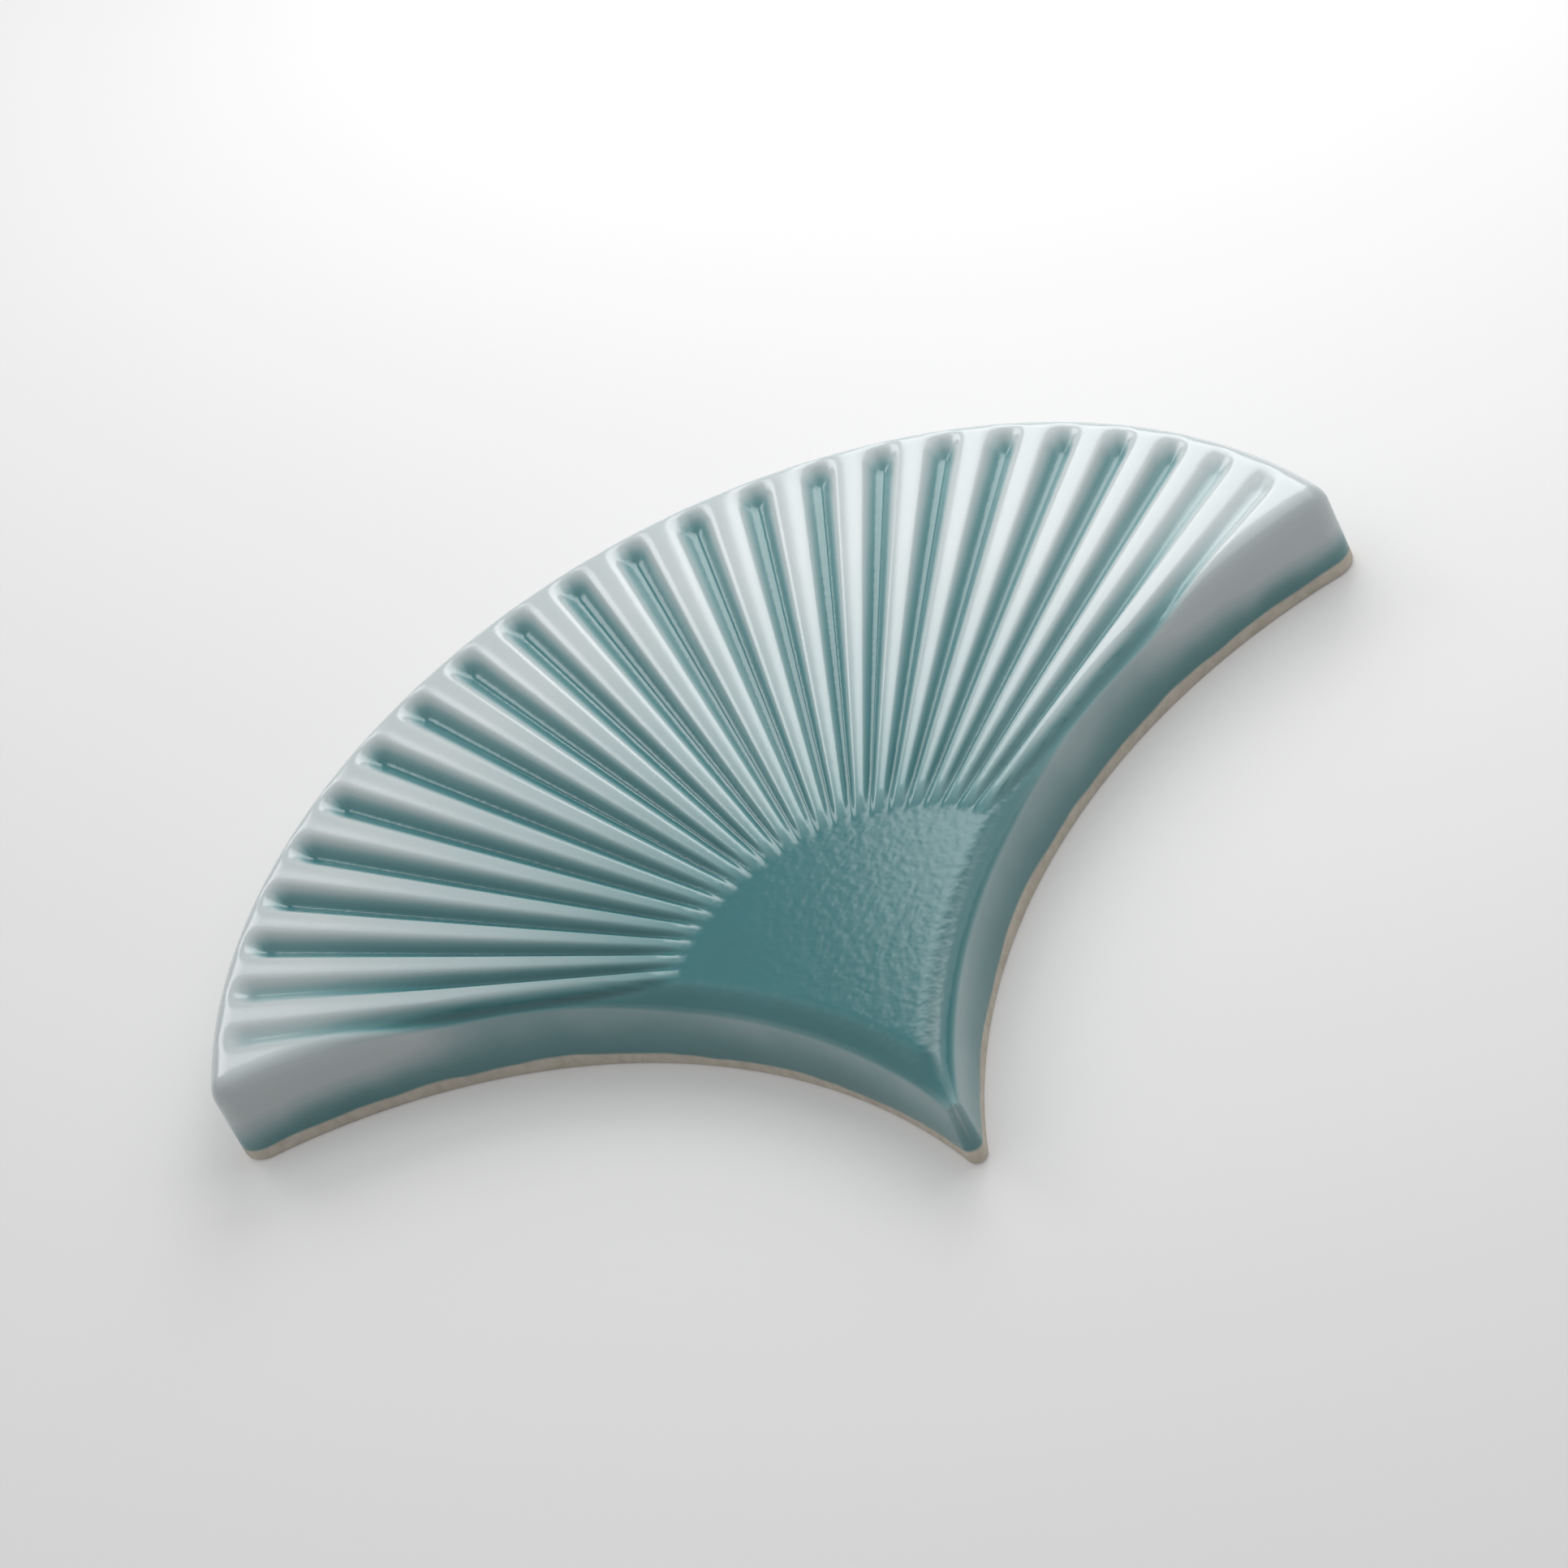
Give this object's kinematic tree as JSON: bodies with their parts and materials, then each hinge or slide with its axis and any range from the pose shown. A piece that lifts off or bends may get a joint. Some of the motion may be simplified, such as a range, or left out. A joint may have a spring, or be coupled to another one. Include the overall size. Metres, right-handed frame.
{
  "type": "fish scale tile",
  "caption": "Glazed fish scale wall tile with a round crown, hollow flanks, a pointed tail and a fan of radiating flutes, for covering walls in interlocking rows.",
  "frame": {"origin": "centre of the crown arc, on the flat bedding face", "axes": "+X across the tile, +Y towards the round crown, +Z out of the glazed face; the tile lies on its back"},
  "size_m": [0.1174, 0.0967, 0.0096],
  "materials": {
    "teal_glaze": "satin-gloss translucent teal glaze, pale where it breaks over the ridges and deep where it pools"
  },
  "bodies": {
    "root": {"fan_tile": "teal_glaze"}
  },
  "joints": []
}
